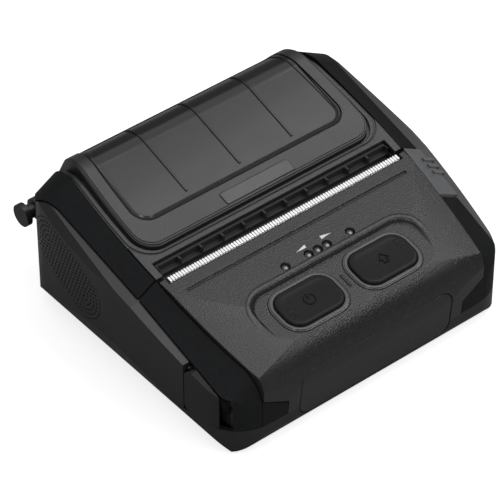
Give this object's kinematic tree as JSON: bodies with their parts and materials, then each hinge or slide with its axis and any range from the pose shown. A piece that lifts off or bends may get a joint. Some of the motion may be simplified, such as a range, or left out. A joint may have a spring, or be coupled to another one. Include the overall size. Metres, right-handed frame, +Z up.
{
  "type": "portable label printer",
  "caption": "Portable thermal label printer with a hinged windowed lid, raised control panel, soft shoulders, perforated side grilles, port flap and removable battery pack.",
  "frame": {"origin": "on the table under the rubber feet, below the middle of the whole footprint in width and in depth, hinge barrel and front bumpers included", "axes": "+X to the operator's right and along the platen roller, +Y from the front face towards the lid hinge, +Z up"},
  "size_m": [0.148, 0.1408, 0.066],
  "materials": {
    "case_black": "fine moulded texture",
    "lid_black": "fine moulded texture",
    "panel_black": "fine moulded texture with a soft sheen",
    "cover_black": "satin",
    "grille_black": "satin",
    "inner_black": "plain moulded",
    "shoulder_rubber": "matte over-moulded rubber",
    "port_rubber": "matte",
    "roller_rubber": "ground matte",
    "foot_rubber": "matte",
    "window_smoke": "smoked clear plastic, polished",
    "plate_grey": "satin",
    "bezel_gloss": "polished with bright edges",
    "key_black": "satin with raised signs",
    "lever_grey": "metallic grey lacquer on plastic",
    "light_clear": "clear, unlit",
    "steel": "bright",
    "tin": "tinned",
    "brass": "plain",
    "gear_white": "plain moulded",
    "bush_amber": "plain moulded",
    "board_green": "lacquered",
    "chip_black": "plain",
    "motor_grey": "satin",
    "sink_aluminium": "plain extruded",
    "ceramic": "glazed",
    "battery_black": "satin"
  },
  "bodies": {
    "case": {"bottom_case": "case_black", "front_case": "panel_black", "front_plate": "panel_black", "left_bumper": "shoulder_rubber", "right_bumper": "shoulder_rubber", "left_side_cover": "cover_black", "right_side_cover": "cover_black", "left_grille": "grille_black", "right_grille": "grille_black", "port_panel": "inner_black", "power_jack": "inner_black", "data_socket": "tin", "tear_bar": "steel", "button_bezels": "bezel_gloss", "light_pipes": "light_clear", "key_board": "board_green", "main_board": "board_green", "board_parts": "chip_black", "wireless_module": "tin", "battery_bay": "inner_black", "battery_contacts": "brass", "print_chassis": "steel", "gear_studs": "steel", "feed_motor": "motor_grey", "head_pivot": "steel", "head_springs": "steel", "roll_cradle": "inner_black", "paper_sensor": "chip_black", "rear_cover": "case_black", "hinge_pin": "steel", "hinge_caps": "case_black", "feet": "foot_rubber", "case_screws": "steel"},
    "lid": {"lid_shell": "lid_black", "lid_panel": "lid_black", "lid_window": "window_smoke", "name_plate": "plate_grey", "exit_guide": "inner_black", "lid_frame": "inner_black", "left_grip": "shoulder_rubber", "right_grip": "shoulder_rubber", "platen_bushings": "bush_amber"},
    "platen": {"platen_roller": "roller_rubber", "platen_shaft": "steel", "platen_gear": "gear_white"},
    "head": {"head_sink": "sink_aluminium", "print_head": "ceramic"},
    "motor_gear": {"motor_pinion": "brass"},
    "idler": {"idler_gear": "gear_white"},
    "relay": {"relay_gear": "gear_white"},
    "latches": {"latch_hooks": "steel"},
    "lever": {"release_lever": "lever_grey"},
    "power_key": {"power_button": "key_black"},
    "feed_key": {"feed_button": "key_black"},
    "port_flap": {"port_cover": "port_rubber"},
    "battery": {"battery_pack": "battery_black"},
    "battery_catch": {"battery_latch": "inner_black"}
  },
  "joints": [
    {"name": "lid_open", "type": "hinge", "parent": "case", "child": "lid", "pos_m": [0, 0.06558, 0.0306], "axis": [-1, 0, 0], "range_deg": [0, 95]},
    {"name": "platen_spin", "type": "hinge", "parent": "lid", "child": "platen", "pos_m": [0, -0.00792, 0.0386], "axis": [1, 0, 0], "continuous": true},
    {"name": "idler_spin", "type": "hinge", "parent": "case", "child": "idler", "pos_m": [-0.063, -0.00956, 0.02349], "axis": [1, 0, 0], "continuous": true},
    {"name": "relay_spin", "type": "hinge", "parent": "case", "child": "relay", "pos_m": [-0.063, -0.02556, 0.02349], "axis": [1, 0, 0], "continuous": true},
    {"name": "pinion_spin", "type": "hinge", "parent": "case", "child": "motor_gear", "pos_m": [-0.063, -0.03676, 0.02349], "axis": [1, 0, 0], "continuous": true},
    {"name": "head_swing", "type": "hinge", "parent": "case", "child": "head", "pos_m": [0, -0.01752, 0.0164], "axis": [1, 0, 0], "range_deg": [0, 1.5], "stiffness_Nm_per_rad": 4, "springref_deg": -2.86, "deforming": ["head_springs"]},
    {"name": "lever_lift", "type": "hinge", "parent": "case", "child": "lever", "pos_m": [0.0622, -0.02602, 0.044], "axis": [0, -0.942, -0.3355], "range_deg": [0, 18], "stiffness_Nm_per_rad": 0.03, "springref_deg": -11.46},
    {"name": "latch_swing", "type": "hinge", "parent": "case", "child": "latches", "pos_m": [0, -0.00242, 0.024], "axis": [-1, 0, 0], "range_deg": [0, 14.4]},
    {"name": "power_press", "type": "slide", "parent": "case", "child": "power_key", "axis": [0, 0.1771, -0.9842], "range_m": [0, 0.0009], "stiffness_N_per_m": 900, "springref_m": -0.0008},
    {"name": "feed_press", "type": "slide", "parent": "case", "child": "feed_key", "axis": [0, 0.1771, -0.9842], "range_m": [0, 0.0009], "stiffness_N_per_m": 900, "springref_m": -0.0008},
    {"name": "port_flap_open", "type": "hinge", "parent": "case", "child": "port_flap", "pos_m": [-0.07, -0.04482, 0.021], "axis": [0, 0, -1], "range_deg": [0, 95]},
    {"name": "battery_out", "type": "slide", "parent": "case", "child": "battery", "axis": [0, 0, -1], "range_m": [0, 0.022]},
    {"name": "battery_catch_slide", "type": "slide", "parent": "case", "child": "battery_catch", "axis": [0, 1, 0], "range_m": [0, 0.002], "stiffness_N_per_m": 150, "springref_m": -0.002}
  ],
  "couplings": [
    {"joint": "idler_spin", "follows": "platen_spin", "ratio": -0.58333},
    {"joint": "relay_spin", "follows": "platen_spin", "ratio": 0.875},
    {"joint": "pinion_spin", "follows": "platen_spin", "ratio": -1.1667},
    {"joint": "latch_swing", "follows": "lever_lift", "ratio": 0.8}
  ]
}
